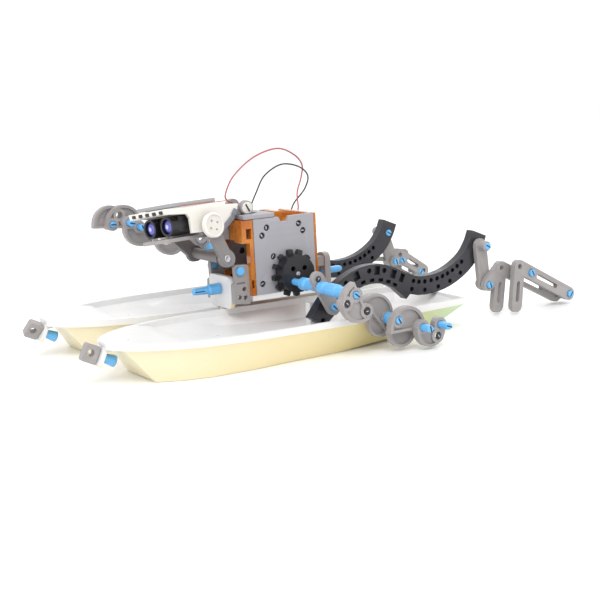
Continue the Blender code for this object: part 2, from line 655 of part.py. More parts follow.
for side, sign in SIDES:
    turn = (0, sign * pi / 2, 0)

    def place(name, mesh, colour, x, y, z, rotation):
        """One piece of this arm; the right arm is turned half a turn about the crank axis."""
        at = (sign * x, CRANK_Y + sign * y, CRANK_Z + sign * z)
        node("%s_%s" % (side, name), mesh, colour, at, parent="drive", rotation=rotation)

    def flip(points):
        return [(sign * y, sign * z) for y, z in points]

    node(side + "_sprocket", sprocket_mesh(sign), "crank_black", (sign * (BOX_HALF_WIDTH + 5.0), CRANK_Y, CRANK_Z),
         parent="drive", rotation=SIDEWAYS)
    place("crank_pin", crank_pin_mesh(), "pin_blue", LINK_X, CRANK_PIN[0], CRANK_PIN[1], turn)
    link = slab(flip(slot(-4.3, 0.6, 6.0, -18.0, 4.3, 6)), PLATE_T,
                [flip(circle(CRANK_PIN[0], CRANK_PIN[1], PIN_R + GAP, 12)), flip(circle(-4.4, 0.6, 1.5, 10)),
                 flip(circle(5.5, -17.2, 1.6, 10))])
    place("link", link, "kit_grey", LINK_X, 0, 0, SIDEWAYS)
    for name, halves, bores in PADDLES[side]:
        place(name, paddle_mesh(halves, bores, sign), "kit_grey", ARM_X, 0, 0, SIDEWAYS)
    for name, y, z, x0, x1, c0, c1, cr in ARM_PINS[side]:
        place(name, arm_pin_mesh(x0, x1, c0, c1, cr), "pin_blue", ARM_X, y, z, turn)

# ---- legs -----------------------------------------------------------------------------------
LEG_LINE = ((5.0, HIP_Z), (18.0, 29.5), (34.0, 36.5), (50.0, 36.0), (63.0, 30.0), (76.0, 25.4), (91.0, 25.6),
            (104.0, 29.4), (115.5, 36.4), (122.4, 45.0), (125.8, 52.4))


def leg_mesh(sign):
    """An S-shaped beam: an arched front half, a hanging rear half with a row of holes."""
    line = smooth([(y, z, 0) for y, z in LEG_LINE], 3)
    upper = []
    lower = []
    marks = []
    for i, p in enumerate(line):
        q = line[min(i + 1, len(line) - 1)] - line[max(i - 1, 0)]
        normal = Vector((-q.y, q.x, 0)).normalized()
        upper.append(p + normal * LEG_HALF_DEPTH)
        lower.append(p - normal * LEG_HALF_DEPTH)
        marks.append((p, normal, q.normalized()))
    outline = [(p.x, p.y) for p in lower[2:]]
    outline += [(p.x, p.y) for p in reversed(upper[2:])]
    outline += [(5.0, 27.0), (-3.4, 16.8), (6.0, 10.4), (13.0, 16.2)]
    pockets = []
    for i, side_step, r in ((14, 2.4, 1.5), (15, 2.4, 1.5), (16, 2.4, 1.5), (17, 2.4, 1.5), (18, 2.4, 1.5),
                            (19, 2.4, 1.5), (20, 2.4, 1.5), (21, 2.4, 1.5), (14, -2.6, 1.5), (16, -2.8, 1.5),
                            (18, -2.8, 1.5), (20, -2.8, 1.5), (4, 2.2, 1.5), (7, 2.2, 1.7), (9, 2.2, 1.7),
                            (22, 2.6, 1.5), (23, 2.6, 1.5), (22, -2.6, 1.5)):
        p, normal, along = marks[i]
        q = p + normal * side_step
        pockets.append(circle(q.x, q.y, r, 8))
    ribs = [(5.4, 2.3, -0.6, 4.6), (8.0, 2.1, -0.6, 4.6), (10.4, 2.2, -0.6, 4.6), (11.9, 1.7, -0.6, 4.6)]
    ribs += [(u, 1.7, -4.6, -2.6) for u in (6.0, 7.3, 8.6, 9.9, 11.2)]
    for at, half, v0, v1 in ribs:
        k = int(at)
        p, normal, along = marks[k]
        p = p + (marks[k + 1][0] - p) * (at - k)
        pockets.append([((p + along * u + normal * v).x, (p + along * u + normal * v).y)
                        for u, v in ((-half, v0), (half, v0), (half, v1), (-half, v1))])
    beam = slab(outline, LEG_T)
    step = slab([(56.5, 27.5), (66.5, 18.4), (72.0, 23.4), (64.0, 32.0)], LEG_T - 0.3)
    beam = combine(beam, [step])
    cuts = []
    for face in (1, -1):
        cuts.append(turned(slab(pockets[0], 4.8, pockets[1:]), (0, 0, 0), (0, 0, face * LEG_T / 2)))
    cuts.append(turned(lathe([(0, -9), (1.7, -9), (1.7, 9), (0, 9)], 10), (0, 0, 0), (5.0, 14.2, 0)))
    beam = combine(beam, cuts, "DIFFERENCE")
    bore = lathe([(0, -9), (PIN_R + GAP, -9), (PIN_R + GAP, 9), (0, 9)], 12)
    beam = combine(beam, [turned(bore, (0, 0, 0), (ANKLE_Y, ANKLE_Z, 0))], "DIFFERENCE")
    peg = lathe([(0, -8.8), (PIN_R, -8.8), (PIN_R, 1), (0, 1)] if sign > 0 else [(0, -1), (PIN_R, -1), (PIN_R, 8.8), (0, 8.8)], 12)
    beam = combine(beam, [turned(peg, (0, 0, 0), (5.0, HIP_Z, 0))])
    return turned(beam, (0, 0, 0), (-HIP_Y, -HIP_Z, 0))


# foot pieces (y, z): the hub under the ankle, then the corner, toe end and drop end of the inner
# and the outer bent plate, and the two rods that hold the plates apart
FEET = {
    "left": {"hub": (126.5, 20.0), "inner": ((137.0, 29.5), (184.0, 5.2), (133.5, 5.2)),
             "outer": ((145.5, 30.0), (188.5, 6.6), (142.5, 5.2)), "rods": ((155.0, 24.8), (188.5, 6.6))},
    "right": {"hub": (132.0, 23.5), "inner": ((141.0, 26.5), (162.0, 12.5), (117.5, 29.0)),
              "outer": ((139.0, 21.0), (166.5, 6.2), (150.5, 24.5)), "rods": ((143.0, 22.5), (159.0, 12.0))},
}
FOOT_T = 3.8


def bent_plate(corner, toe, drop, rods, root=None):
    """A bent foot plate: a long slotted toe arm and a slotted drop arm, with bosses for the rods."""
    extra = [slab(slot(*corner, *drop, 4.3, 5), FOOT_T - 0.2)]
    if root:
        extra.append(slab(slot(*root, *corner, 4.2, 5), FOOT_T - 0.4))
    for k, rod in enumerate(rods):
        extra.append(slab(circle(rod[0], rod[1], 4.4, 12), FOOT_T - 0.5 - 0.1 * k))
    plate = combine(slab(slot(*corner, *toe, 4.3, 5), FOOT_T), extra)
    cuts = []
    for end, a, b in ((toe, 0.36, 0.72), (drop, 0.42, 0.86)):
        near, far = [tuple(p + (q - p) * t for p, q in zip(corner, end)) for t in (a, b)]
        cuts.append(slab(slot(*near, *far, 1.4, 3), 9.0))
    bores = [(corner, 1.7), (toe, 1.5)]
    if root:
        bores.append((root, PIN_R + GAP))
    for (y, z), r in bores:
        cuts.append(turned(lathe([(0, -9), (r, -9), (r, 9), (0, 9)], 10), (0, 0, 0), (y, z, 0)))
    return plate, cuts


def foot_pieces(side, sign):
    """The three pieces of one foot, each in its own layer outboard of the leg."""
    foot = FEET[side]
    name = side + "_ankle"
    back = (-ANKLE_Y, -ANKLE_Z, 0)
    x_link = LEG_X + LEG_T / 2 + GAP + PLATE_T / 2
    hub = foot["hub"]
    link = slab(slot(ANKLE_Y, ANKLE_Z, *hub, 4.4, 5), PLATE_T)
    peg = lathe([(0, -8.0), (PIN_R, -8.0), (PIN_R, 1.3), (3.2, 1.4), (3.2, 7.0), (2.6, 7.6), (0, 7.6)], 14)
    stud = lathe([(0, -4.0), (3.6, -4.0), (3.6, 0), (PIN_R, 0.1), (PIN_R, 6.4), (0, 6.4)], 12)
    outward = (0, 0, 0) if sign > 0 else (pi, 0, 0)
    link = combine(link, [turned(peg, outward, (ANKLE_Y, ANKLE_Z, 0)), turned(stud, outward, (*hub, 0))])
    node(side + "_foot_link", turned(link, (0, 0, 0), back), "kit_grey",
         (sign * x_link, ANKLE_Y, ANKLE_Z), parent=name, rotation=SIDEWAYS)
    x_in = x_link + PLATE_T / 2 + GAP + FOOT_T / 2
    x_out = x_in + 7.6
    inner, cuts = bent_plate(*foot["inner"], foot["rods"], hub)
    inner = combine(inner, cuts, "DIFFERENCE")
    rods = []
    for k, (y, z) in enumerate(foot["rods"]):
        reach = x_out - x_in
        rod = [(0, 0.1 * k), (3.0, 0.1 * k), (3.0, reach - FOOT_T / 2 - GAP), (PIN_R, reach - FOOT_T / 2 - GAP)]
        rods.append(turned(lathe(rod + [(PIN_R, reach + 3.0), (0, reach + 3.0)], 12), outward, (y, z, 0)))
    inner = combine(inner, rods)
    node(side + "_foot_heel", turned(inner, (0, 0, 0), back), "kit_grey",
         (sign * x_in, ANKLE_Y, ANKLE_Z), parent=name, rotation=SIDEWAYS)
    outer, cuts = bent_plate(*foot["outer"], foot["rods"])
    for y, z in foot["rods"]:
        r = PIN_R + GAP
        cuts.append(turned(lathe([(0, -9), (r, -9), (r, 9), (0, 9)], 12), (0, 0, 0), (y, z, 0)))
    node(side + "_foot_plate", turned(combine(outer, cuts, "DIFFERENCE"), (0, 0, 0), back), "kit_grey",
         (sign * x_out, ANKLE_Y, ANKLE_Z), parent=name, rotation=SIDEWAYS)


for side, sign in SIDES:
    body(side + "_hip", (0, HIP_Y, HIP_Z), parent="kit")
    node(side + "_leg", leg_mesh(sign), "leg_black", (sign * LEG_X, HIP_Y, HIP_Z), parent=side + "_hip", rotation=SIDEWAYS)
    body(side + "_ankle", (0, ANKLE_Y, ANKLE_Z), parent=side + "_hip")
    foot_pieces(side, sign)

# ---- head, on a fork from the gearbox --------------------------------------------------------
NECK_X = HEAD_HALF_WIDTH + GAP + 1.3
NECK_BAR = (-40.5, 53.2)
HEAD_AT = (0, HEAD_Y, HEAD_Z)
NECK_FOOT = ((1, 8.1, -20.5), (-1, 15.8, -15.3))    # lower end of each arm, from the ear axis


def neck_mesh():
    """Two arms from a cross bar up to the ears, and a stem back to the gearbox front."""
    bar = turned(slab(circle(0, 0, 3.2, 14), 2 * NECK_X + 2.2), SIDEWAYS, (0, NECK_BAR[0], NECK_BAR[1]))
    arms = []
    for sign, y, z in NECK_FOOT:
        arm = slab(slot(0, 0, y, z, 4.2, 5), 2.6, [circle(0, 0, 2.2, 12)])
        boss = slab(slot(y - 1.0, z, y + 1.2, z, 4.9, 6), 2.2)
        arm = turned(combine(arm, [boss]), SIDEWAYS, (sign * NECK_X, 0, 0))
        arms.append(turned(arm, HEAD_SET, HEAD_AT))
    stem = block(14.0, 11.4, 5.4, (0, NECK_BAR[0] + 5.5, NECK_BAR[1] + 0.2))
    return combine(bar, arms + [stem])


node("neck", neck_mesh(), "kit_grey", (0, 0, 0))

body("head", HEAD_AT, rotation=HEAD_SET, parent="kit")


def from_ear(x, y, z):
    """A point of the head given from the ear axis."""
    return (x, HEAD_Y + y, HEAD_Z + z)


def face_mesh():
    """The cream head: a roof with a slotted visor lip, and two cheeks that carry the ears."""
    side = [(-29, 13), (25, 10.4), (24, 7.4), (10, -3.4), (-12.3, -2.6), (-12.3, 6.0), (-14, 8.6), (-28.5, 9.8)]
    full = turned(slab(side, 2 * HEAD_HALF_WIDTH), SIDEWAYS)
    inner = [(-24.5, 11.2), (32.0, 8.4), (32.0, -6), (-24.5, -6)]
    hollow = turned(slab(inner, 2 * HEAD_HALF_WIDTH - 4), SIDEWAYS)
    cuts = [hollow, block(2 * HEAD_HALF_WIDTH - 4, 16.0, 12.0, (0, 27.4, 8.0))]
    for k in range(5):
        cuts.append(block(3.4, 4.4, 1.9, ((k - 2) * 6.4, -29.6, 11.2)))
    cuts.append(turned(lathe([(0, -30), (2.2, -30), (2.2, 30), (0, 30)], 12), ALONG_X))
    return combine(full, cuts, "DIFFERENCE")


node("face_shell", face_mesh(), "head_cream", HEAD_AT, parent="head")


def eye_mesh():
    """Twin barrels side by side on a black housing, open in front for the lenses."""
    parts = []
    for sign in (1, -1):
        barrel = lathe([(0, -14), (5.7, -14), (5.7, 0), (4.4, 0), (4.4, -4.0), (0, -4.0)], 20)
        parts.append(turned(barrel, FACING_Y, (sign * 8.0, 0, 0)))
    housing = block(26.4, 9.0, 8.4, (0, 9.3, 0.9))
    return combine(housing, parts)


EYE = (0, -22.5, 3.0)
node("eye_barrels", eye_mesh(), "crank_black", from_ear(*EYE), parent="head")
for side, sign in SIDES:
    lens = lathe([(0, -1.6), (4.0, -1.6), (4.0, 0), (2.9, 0.9), (1.4, 1.4), (0, 1.6)], 16)
    node(side + "_lens", lens, "lens_violet", from_ear(sign * 8.0, EYE[1] + 1.7, EYE[2]), parent="head",
         rotation=FACING_Y)
    ear = lathe([(0, -5.2), (1.9, -5.2), (1.9, 0), (EAR_RADIUS, 0), (EAR_RADIUS, 2.4), (EAR_RADIUS - 0.6, 3.0),
                 (EAR_RADIUS - 1.2, 3.0), (EAR_RADIUS - 1.5, 2.2), (0, 2.2)], 24)
    node(side + "_ear", ear, "head_cream", from_ear(sign * (NECK_X + 1.3 + GAP), 0, 0), parent="head",
         rotation=(0, sign * pi / 2, 0))
jaw = combine(block(24.0, 32.0, 2.2, (0, -10.0, -5.0)), [block(30.4, 6.0, 3.6, (0, -1.0, -2.7))])
node("jaw_bar", jaw, "kit_grey", HEAD_AT, parent="head")

PANEL_LENGTH = 34.0
PANEL_WIDTH = 31.0
panel = block(PANEL_WIDTH, PANEL_LENGTH, 2.2)
panel = combine(panel, [block(PANEL_WIDTH - 3, PANEL_LENGTH - 3, 1.0, (0, 0, 1.1))], "DIFFERENCE")
node("solar_panel", panel, "panel_grey", from_ear(0, -7.0, 14.6), parent="head")

# ---- hinge behind the head: two knobs on an axle, each with a bent arm reaching forward --------
KNOB = (-18.8, 80.4)
KNOB_X = 8.4


def panel_hinge_mesh():
    """Knobs on an axle, carried by two bent arms that stand over the gearbox front."""
    axle = turned(slab(circle(0, 0, 1.5, 10), 2 * KNOB_X), SIDEWAYS, (0, KNOB[0], KNOB[1]))
    path = ((KNOB[0], KNOB[1]), (-25.2, 79.5), (-29.4, 77.0), (-32.2, 75.0))
    for sign in (1, -1):
        knob = lathe([(0, -1.8), (4.4, -1.8), (4.4, 1.2), (3.9, 1.9), (2.2, 1.9), (1.9, 1.5), (0, 1.5)], 18)
        axle = combine(axle, [turned(knob, (0, sign * pi / 2, 0), (sign * KNOB_X, KNOB[0], KNOB[1]))])
        arm = slab(slot(*path[0], *path[1], 2.3, 5), 2.4)
        arm = combine(arm, [slab(slot(*path[1], *path[2], 1.6, 4), 2.2)])
        arm = combine(arm, [slab(slot(*path[2], *path[3], 1.7, 4), 2.4)])
        axle = combine(axle, [turned(arm, SIDEWAYS, (sign * (KNOB_X - 2.0), 0, 0))])
    return axle


node("panel_hinge", panel_hinge_mesh(), "kit_grey", (0, 0, 0))

# ---- bow eyes: a bored block that swivels about a cone pin in the nose flange -----------------
for side, sign in SIDES:
    at = (sign * PONTOON_X, BOW_Y - 2.5 - GAP, NOSE_Z)
    body(side + "_bow_eye_swivel", at, rotation=(NOSE_TILT, 0, 0), parent="kit")
    eye = turned(slab(rounded(-8.6, -5.0, 0, 5.0, 1.2, 2), 5.0, [circle(-4.8, 0.4, 2.1, 10)]), SIDEWAYS)
    stud = lathe([(0, 1.0), (2.1, 1.0), (2.1, -3.2), (2.3, -3.3), (3.0, -9.8), (2.6, -10.4), (0, -10.4)], 14)
    eye = combine(eye, [turned(stud, FACING_Y)])
    lean = 0.0 if sign > 0 else radians(28)
    node(side + "_bow_eye", turned(eye, (0, lean, 0)), "kit_grey", at, parent=side + "_bow_eye_swivel")

# ---- free wires from the panel to the motor --------------------------------------------------
RED_ROUTE = ((0, -22.8, 83.2), (0, -26.0, 84.6), (0.4, -27.6, 88.5), (1.5, -22, 99), (2, -8, 109), (1, 9, 113), (0, 21, 109),
             (-1, 28, 102), (-1, 27, 94), (0, 23, 85), (2, 22.0, 77), (3, 21.0, 74.6))
BLACK_ROUTE = ((-4, -9, 78), (-4, -4, 87), (-3, 2, 97), (-1, 13, 103), (1, 24, 101), (2, 30, 95), (1, 28, 87),
               (-2, 22, 79), (-3, 20.0, 74.6))
wire_node("red_wire", RED_ROUTE, 0.9, "wire_red")
wire_node("black_wire", BLACK_ROUTE, 0.9, "wire_black")
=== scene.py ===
# Visual model of the solar surfing robot kit, dressed over the CAD frame.
import bpy
import bmesh
import json
from math import sin, cos, pi, radians, atan2
from mathutils import Vector, Matrix, Euler


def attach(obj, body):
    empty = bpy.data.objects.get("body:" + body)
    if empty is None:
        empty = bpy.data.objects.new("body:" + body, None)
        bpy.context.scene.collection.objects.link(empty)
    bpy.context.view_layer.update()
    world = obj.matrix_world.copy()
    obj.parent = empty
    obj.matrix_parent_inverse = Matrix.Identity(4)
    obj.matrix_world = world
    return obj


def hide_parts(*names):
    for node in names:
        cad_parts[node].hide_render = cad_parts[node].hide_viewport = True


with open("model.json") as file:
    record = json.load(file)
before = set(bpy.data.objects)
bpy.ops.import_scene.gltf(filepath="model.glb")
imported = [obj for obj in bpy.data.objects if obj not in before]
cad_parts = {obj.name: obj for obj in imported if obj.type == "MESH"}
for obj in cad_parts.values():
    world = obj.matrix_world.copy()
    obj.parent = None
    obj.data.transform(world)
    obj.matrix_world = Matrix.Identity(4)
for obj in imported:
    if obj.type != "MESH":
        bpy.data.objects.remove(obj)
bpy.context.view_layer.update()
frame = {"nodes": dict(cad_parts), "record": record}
NODES = frame["nodes"]
MM = 0.001
Y_SHIFT = -24.69
SIDES = (("left", 1), ("right", -1))
MOULD_GRAIN = 0.00002        # depth of the grain on injection-moulded pieces, in metres
BLOWN_GRAIN = 0.000004       # depth of the grain on the smooth pontoons
WIRE_RADIUS = 0.45           # radius of a lead, in millimetres


# ---- materials -----------------------------------------------------------------------------
def new_material(name):
    """An empty node material and its tree."""
    mat = bpy.data.materials.new(name)
    mat.use_nodes = True
    tree = mat.node_tree
    shader = tree.nodes["Principled BSDF"]
    return mat, tree, shader


def noise(tree, scale, detail=3.0, rough=0.55, coords=None):
    """A noise texture on object coordinates."""
    if coords is None:
        coords = tree.nodes.new("ShaderNodeTexCoord").outputs["Object"]
    tex = tree.nodes.new("ShaderNodeTexNoise")
    tex.inputs["Scale"].default_value = scale
    tex.inputs["Detail"].default_value = detail
    tex.inputs["Roughness"].default_value = rough
    tree.links.new(coords, tex.inputs["Vector"])
    return tex.outputs["Fac"]


def ramp(tree, fac, stops):
    """A colour ramp through (position, colour) stops."""
    node = tree.nodes.new("ShaderNodeValToRGB")
    elements = node.color_ramp.elements
    while len(elements) < len(stops):
        elements.new(0.5)
    for e, (pos, col) in zip(elements, stops):
        e.position = pos
        e.color = (col[0], col[1], col[2], 1.0)
    tree.links.new(fac, node.inputs["Fac"])
    return node.outputs["Color"]


def mixed(tree, fac, a, b, mode="MIX"):
    """Mix two colours, either of which may be a socket."""
    node = tree.nodes.new("ShaderNodeMix")
    node.data_type = "RGBA"
    node.blend_type = mode
    for value, key in ((fac, 0), (a, 6), (b, 7)):
        if isinstance(value, bpy.types.NodeSocket):
            tree.links.new(value, node.inputs[key])
        elif key == 0:
            node.inputs[key].default_value = value
        else:
            node.inputs[key].default_value = (value[0], value[1], value[2], 1.0)
    return node.outputs[2]


def remap(tree, fac, lo, hi, from_lo=0.0, from_hi=1.0):
    """A clamped linear map of a value."""
    node = tree.nodes.new("ShaderNodeMapRange")
    node.inputs["From Min"].default_value = from_lo
    node.inputs["From Max"].default_value = from_hi
    node.inputs["To Min"].default_value = lo
    node.inputs["To Max"].default_value = hi
    tree.links.new(fac, node.inputs["Value"])
    return node.outputs["Result"]


def sheen(tree, shader, cloud, lo, hi):
    """Let the roughness wander between two values with a cloudy texture."""
    tree.links.new(remap(tree, cloud, lo, hi, 0.3, 0.7), shader.inputs["Roughness"])


def bump(tree, shader, height, strength, distance):
    """Feed a height into the shader's normal."""
    node = tree.nodes.new("ShaderNodeBump")
    node.inputs["Strength"].default_value = strength
    node.inputs["Distance"].default_value = distance
    tree.links.new(height, node.inputs["Height"])
    tree.links.new(node.outputs["Normal"], shader.inputs["Normal"])


def plastic(name, colour, rough=0.4, spread=0.06, depth=MOULD_GRAIN, sss=0.0, coat=0.0, reflection_paint=None,
            pale_edges_and_painted_shade=True):
    """Moulded plastic: cloudy colour, uneven sheen, fine grain; unless turned off, pale edges and painted
    shade darkening the hollows.
    """
    mat, tree, shader = new_material(name)
    cloud = noise(tree, 60.0, 4.0)
    dark = [c * (1 - spread) for c in colour]
    light = [min(1.0, c * (1 + spread * 0.6)) for c in colour]
    base = ramp(tree, cloud, ((0.3, dark), (0.7, light)))
    # painted reflection: coloured light under the hulls mixed into the base colour
    if reflection_paint is not None:
        base = reflection_paint(tree, base)
    if pale_edges_and_painted_shade:
        sharp = tree.nodes.new("ShaderNodeNewGeometry").outputs["Pointiness"]
        edge = remap(tree, sharp, 0.0, 0.35, 0.53, 0.60)
        base = mixed(tree, edge, base, [min(1.0, c * 1.25 + 0.03) for c in colour])
        # painted shade: concave hollows darkened as if shade gathered in them
        painted_hollow_shade = remap(tree, sharp, 0.75, 0.0, 0.40, 0.488)
        base = mixed(tree, painted_hollow_shade, base, [c * 0.45 for c in colour])
    tree.links.new(base, shader.inputs["Base Color"])
    sheen(tree, shader, noise(tree, 220.0, 5.0, 0.7), max(0.02, rough - 0.08), min(1.0, rough + 0.10))
    bump(tree, shader, noise(tree, 1400.0, 2.0), 0.35, depth)
    if sss:
        shader.inputs["Subsurface Weight"].default_value = sss
        shader.inputs["Subsurface Radius"].default_value = (1, 1, 1)
        shader.inputs["Subsurface Scale"].default_value = 0.004
    if coat:
        shader.inputs["Coat Weight"].default_value = coat
        shader.inputs["Coat Roughness"].default_value = 0.12
    return mat


def hull_painted_reflection(tree, base):
    """Coloured light under the hulls: pale yellow along the sides, green towards the stern."""
    geo = tree.nodes.new("ShaderNodeNewGeometry")
    split = tree.nodes.new("ShaderNodeSeparateXYZ")
    tree.links.new(geo.outputs["Position"], split.inputs[0])
    face = tree.nodes.new("ShaderNodeSeparateXYZ")
    tree.links.new(geo.outputs["True Normal"], face.inputs[0])
    under = remap(tree, face.outputs["Z"], 1.0, 0.0, -0.22, -0.05)
    aft = remap(tree, split.outputs["Y"], 0.0, 1.0, -0.152, 0.068)
    stops = ((0.0, (0.80, 0.73, 0.52)), (0.45, (0.79, 0.68, 0.40)), (0.75, (0.68, 0.58, 0.26)),
             (0.95, (0.56, 0.70, 0.42)))
    return mixed(tree, under, base, ramp(tree, aft, stops))


def translucent(name, colour, dark, rough=0.18):
    """Tinted clear plastic with some depth and a cloudy moulding."""
    mat, tree, shader = new_material(name)
    cloud = noise(tree, 90.0, 4.0)
    tree.links.new(ramp(tree, cloud, ((0.25, dark), (0.75, colour))), shader.inputs["Base Color"])
    shader.inputs["Transmission Weight"].default_value = 0.35
    shader.inputs["IOR"].default_value = 1.45
    sheen(tree, shader, noise(tree, 260.0, 4.0), rough - 0.06, rough + 0.12)
    shader.inputs["Coat Weight"].default_value = 0.4
    bump(tree, shader, noise(tree, 500.0, 2.0), 0.3, 0.00003)
    return mat


def metal(name, colour, rough=0.25):
    """Drawn metal with fine streaks."""
    mat, tree, shader = new_material(name)
    shader.inputs["Metallic"].default_value = 1.0
    stops = ((0.3, [c * 0.85 for c in colour]), (0.7, colour))
    tree.links.new(ramp(tree, noise(tree, 150.0, 5.0), stops), shader.inputs["Base Color"])
    sheen(tree, shader, noise(tree, 900.0, 3.0), rough - 0.08, rough + 0.15)
    bump(tree, shader, noise(tree, 2500.0, 2.0), 0.3, 0.00001)
    return mat


def cell_material():
    """A dark blue cell with silver grid lines and a cloudy, glassy face."""
    mat, tree, shader = new_material("solar cell")
    coords = tree.nodes.new("ShaderNodeTexCoord").outputs["Object"]
    grid = tree.nodes.new("ShaderNodeTexWave")
    grid.inputs["Scale"].default_value = 70.0
    grid.inputs["Distortion"].default_value = 0.0
    tree.links.new(coords, grid.inputs["Vector"])
    line = remap(tree, grid.outputs["Fac"], 0.0, 1.0, 0.93, 0.97)
    cloud = ramp(tree, noise(tree, 300.0, 4.0), ((0.3, (0.01, 0.015, 0.05)), (0.7, (0.02, 0.035, 0.11))))
    tree.links.new(mixed(tree, line, cloud, (0.5, 0.52, 0.55)), shader.inputs["Base Color"])
    sheen(tree, shader, noise(tree, 400.0, 3.0), 0.08, 0.2)
    shader.inputs["Coat Weight"].default_value = 0.8
    return mat


MATERIALS = {
    "pontoon_white": plastic("hull white", (0.755, 0.75, 0.745), 0.34, 0.02, depth=BLOWN_GRAIN, coat=0.15,
                             reflection_paint=hull_painted_reflection, pale_edges_and_painted_shade=False),
    "box_grey": plastic("box grey", (0.34, 0.335, 0.36), 0.46, 0.05),
    "kit_grey": plastic("kit grey", (0.31, 0.29, 0.285), 0.48, 0.07),
    "shell_orange": translucent("shell orange", (0.86, 0.31, 0.015), (0.50, 0.10, 0.004)),
    "pin_blue": plastic("pin blue", (0.12, 0.43, 0.80), 0.34, 0.10, coat=0.2),
    "crank_black": plastic("crank black", (0.013, 0.013, 0.016), 0.36, 0.2),
    "leg_black": plastic("leg black", (0.018, 0.018, 0.025), 0.40, 0.2, coat=0.15),
    "head_cream": plastic("head cream", (0.74, 0.715, 0.66), 0.34, 0.03, sss=0.2, coat=0.2),
    "lens_violet": plastic("lens violet", (0.10, 0.10, 0.55), 0.12, 0.2, coat=1.0),
    "panel_grey": plastic("panel grey", (0.33, 0.33, 0.35), 0.44, 0.05),
    "cell": cell_material(),
    "strap_grey": plastic("strap grey", (0.17, 0.17, 0.20), 0.45, 0.08),
    "neck_grey": plastic("neck grey", (0.19, 0.175, 0.175), 0.45, 0.08),
    "glint": plastic("lens glint", (0.55, 0.60, 0.95), 0.15, 0.1, coat=1.0),
    "steel": metal("motor steel", (0.62, 0.62, 0.64), 0.28),
    "brass": metal("gear brass", (0.75, 0.55, 0.22), 0.3),
    "wire_red": plastic("wire red", (0.40, 0.075, 0.095), 0.38, 0.1),
    "wire_black": plastic("wire black", (0.012, 0.012, 0.012), 0.38, 0.2),
}


# ---- dressing the CAD nodes -------------------------------------------------------------------
def dress(name, slot, width=0.35):
    """A CAD node shown as it is: welded, softly bevelled, smooth, in its material."""
    obj = NODES[name]
    obj.data.materials.clear()
    obj.data.materials.append(MATERIALS[slot])
    obj.data.polygons.foreach_set("use_smooth", [True] * len(obj.data.polygons))
    weld = obj.modifiers.new("weld", "WELD")
    weld.merge_threshold = 0.00001
    bevel = obj.modifiers.new("bevel", "BEVEL")
    bevel.width = width * MM
    bevel.segments = 2
    bevel.limit_method = "ANGLE"
    bevel.angle_limit = radians(28)
    bevel.harden_normals = False
    normals = obj.modifiers.new("normals", "WEIGHTED_NORMAL")
    normals.keep_sharp = True
    return obj


SLOT_OF = {row["node"]: row["material_slot"] for row in frame["record"]["subparts"]}
for node_name, slot_name in SLOT_OF.items():
    if "wire" not in node_name:
        dress(node_name, slot_name, 0.5 if "pontoon" in node_name else 0.3)
NODES["neck"].data.materials[0] = MATERIALS["neck_grey"]


# ---- free wires ---------------------------------------------------------------------------------
def route_points(points, per_span=12):
    """Points on a Catmull-Rom curve through the given route."""
    pts = [Vector(p) for p in points]
    pts = [pts[0] * 2 - pts[1]] + pts + [pts[-1] * 2 - pts[-2]]
    out = []
    for i in range(1, len(pts) - 2):
        a, b, c, d = pts[i - 1:i + 3]
        for k in range(per_span):
            t = k / per_span
            out.append(0.5 * (2 * b + (c - a) * t + (2 * a - 5 * b + 4 * c - d) * t * t
                              + (3 * b - a - 3 * c + d) * t * t * t))
    out.append(pts[-2])
    return [(p + Vector((0, Y_SHIFT, 0))) * MM for p in out]


def tube(name, pts, radius, sides=10):
    """A closed mesh tube along points, its rings kept from twisting."""
    bm = bmesh.new()
    rings = []
    normal = Vector((1, 0, 0))
    for i, p in enumerate(pts):
        along = (pts[min(i + 1, len(pts) - 1)] - pts[max(i - 1, 0)]).normalized()
        normal = (normal - along * normal.dot(along)).normalized()
        side = along.cross(normal)
        spokes = [normal * cos(2 * pi * k / sides) + side * sin(2 * pi * k / sides) for k in range(sides)]
        rings.append([bm.verts.new(p + spoke * radius) for spoke in spokes])
    for a, b in zip(rings, rings[1:]):
        for k in range(sides):
            bm.faces.new((a[k], a[(k + 1) % sides], b[(k + 1) % sides], b[k]))
    bm.faces.new(rings[0])
    bm.faces.new(rings[-1])
    bmesh.ops.recalc_face_normals(bm, faces=bm.faces)
    mesh = bpy.data.meshes.new(name)
    bm.to_mesh(mesh)
    bm.free()
    mesh.polygons.foreach_set("use_smooth", [True] * len(mesh.polygons))
    obj = bpy.data.objects.new(name, mesh)
    bpy.context.scene.collection.objects.link(obj)
    return obj


# the routes the CAD wires follow, in kit millimetres
WIRES = (
    ("red_wire", "wire_red",
     ((0, -22.8, 83.2), (0, -26.0, 84.6), (0.4, -27.6, 88.5), (1.5, -22, 99), (2, -8, 109), (1, 9, 113),
      (0, 21, 109), (-1, 28, 102), (-1, 27, 94), (0, 23, 85), (2, 22.0, 77), (3, 21.0, 74.6))),
    ("black_wire", "wire_black",
     ((-4, -9, 78), (-4, -4, 87), (-3, 2, 97), (-1, 13, 103), (1, 24, 101), (2, 30, 95), (1, 28, 87),
      (-2, 22, 79), (-3, 20.0, 74.6))),
)
for name, slot_name, route in WIRES:
    pts = route_points(route)
    wire = tube(name + "_sleeve", pts, WIRE_RADIUS * MM)
    wire.data.materials.append(MATERIALS[slot_name])
    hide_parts(name)
    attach(wire, "kit")
    length = sum((b - a).length for a, b in zip(pts, pts[1:]))

# ---- small pieces the CAD nodes carry ------------------------------------------------------------
def kit_point(x, y, z):
    return Vector((x, y + Y_SHIFT, z)) * MM


